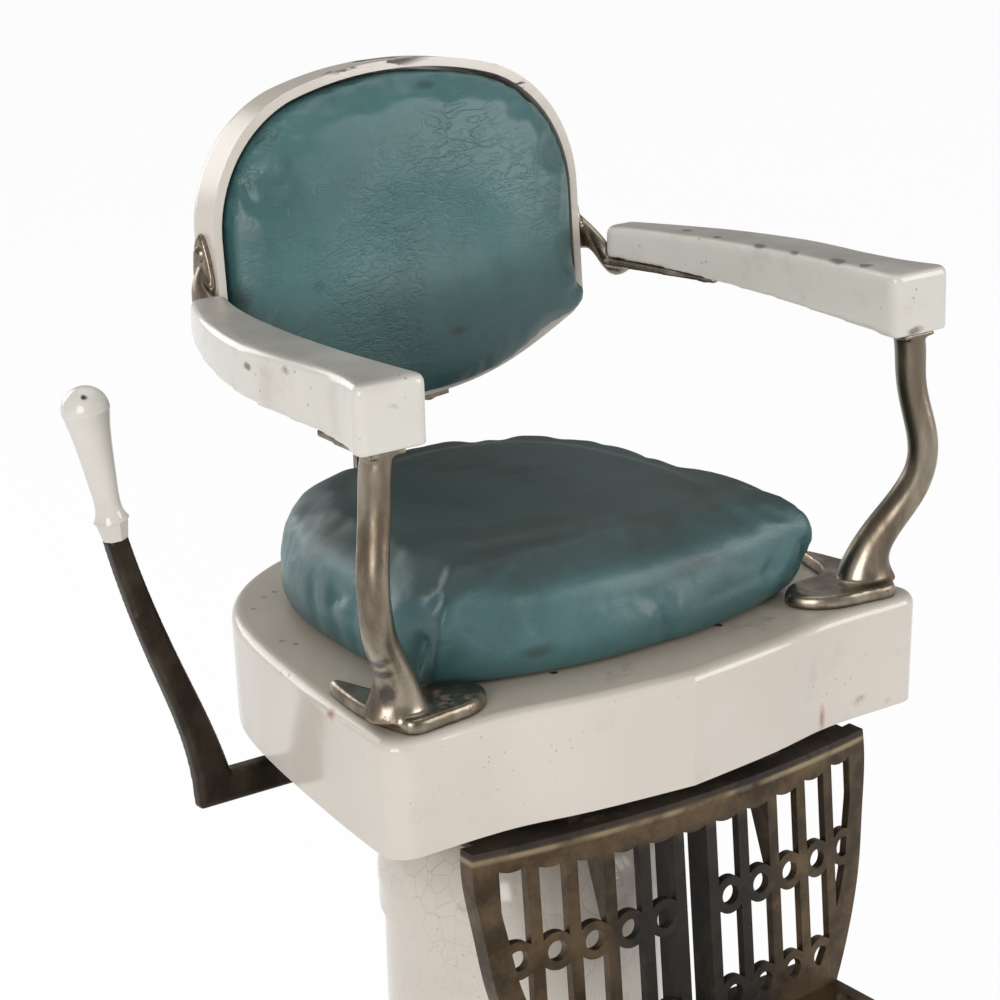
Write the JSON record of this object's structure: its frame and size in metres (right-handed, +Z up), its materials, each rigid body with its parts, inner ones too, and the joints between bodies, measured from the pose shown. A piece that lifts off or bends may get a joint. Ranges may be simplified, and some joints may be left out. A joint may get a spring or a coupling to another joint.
{
  "type": "child's barber chair",
  "caption": "Small enamelled barber chair: cushioned seat and back, armrests on curved posts, pierced leg rest, side lever, swivelling lift column.",
  "frame": {"origin": "on the floor, under the middle of the column", "axes": "+Z up, the sitter faces -Y, +X is the sitter's left"},
  "size_m": [0.6365, 0.619, 1.0516],
  "materials": {
    "enamel": "glossy porcelain enamel on cast iron",
    "nickel": "worn nickel plate",
    "bronzed": "aged bronze-brown plate on cast iron",
    "iron": "dark bare iron",
    "steel": "machined",
    "brass": "machined",
    "leather": "oiled packing leather",
    "vinyl": "creased teal vinyl over padding",
    "wood": "plywood",
    "porcelain": "glazed porcelain"
  },
  "bodies": {
    "base": {"floor_base": "enamel", "pump_bolts": "iron", "drum": "enamel", "drum_cover": "enamel", "pump_cylinder": "iron", "ram_packing": "leather", "gland_nut": "brass"},
    "lift_ram": {"ram": "steel", "piston_cup": "leather", "thrust_washer": "brass"},
    "pump_plunger": {"pump_rod": "steel"},
    "seat": {"seat_hub": "iron", "hub_bolts": "steel", "seat_frame": "iron", "seat_board": "wood", "seat_cushion": "vinyl", "post_right": "nickel", "post_left": "nickel", "skirt": "enamel", "armrest_right": "enamel", "armrest_left": "enamel", "backrest_shell": "enamel", "backrest_board": "wood", "backrest_pad": "vinyl", "bracket_screws": "nickel", "back_board_screws": "nickel", "rear_bracket_right": "nickel", "rear_bracket_left": "nickel", "armrest_screws": "nickel", "back_stay": "nickel", "stay_screws": "nickel", "skirt_screws": "steel", "board_screws": "steel", "foot_screws": "steel", "legrest_panel": "bronzed", "footplate": "bronzed", "footplate_bolts": "steel", "legrest_bolts": "steel"},
    "lever": {"lever_arm": "iron", "crank_pin": "steel", "lever_crank": "iron", "handle_collar": "porcelain", "lever_handle": "porcelain"}
  },
  "joints": [
    {"name": "seat_lift", "type": "slide", "parent": "base", "child": "lift_ram", "axis": [0, 0, 1], "range_m": [0, 0.15]},
    {"name": "seat_swivel", "type": "hinge", "parent": "lift_ram", "child": "seat", "pos_m": [0, 0, 0.487], "axis": [0, 0, 1], "continuous": true},
    {"name": "pump_lever", "type": "hinge", "parent": "seat", "child": "lever", "pos_m": [0, 0.045, 0.529], "axis": [1, 0, 0], "range_deg": [-25, 25]},
    {"name": "pump_stroke", "type": "slide", "parent": "lift_ram", "child": "pump_plunger", "axis": [0, 0, 1], "range_m": [-0.0195, 0.0195]}
  ],
  "couplings": [
    {"joint": "pump_stroke", "follows": "pump_lever", "m_per_rad": -0.043}
  ]
}
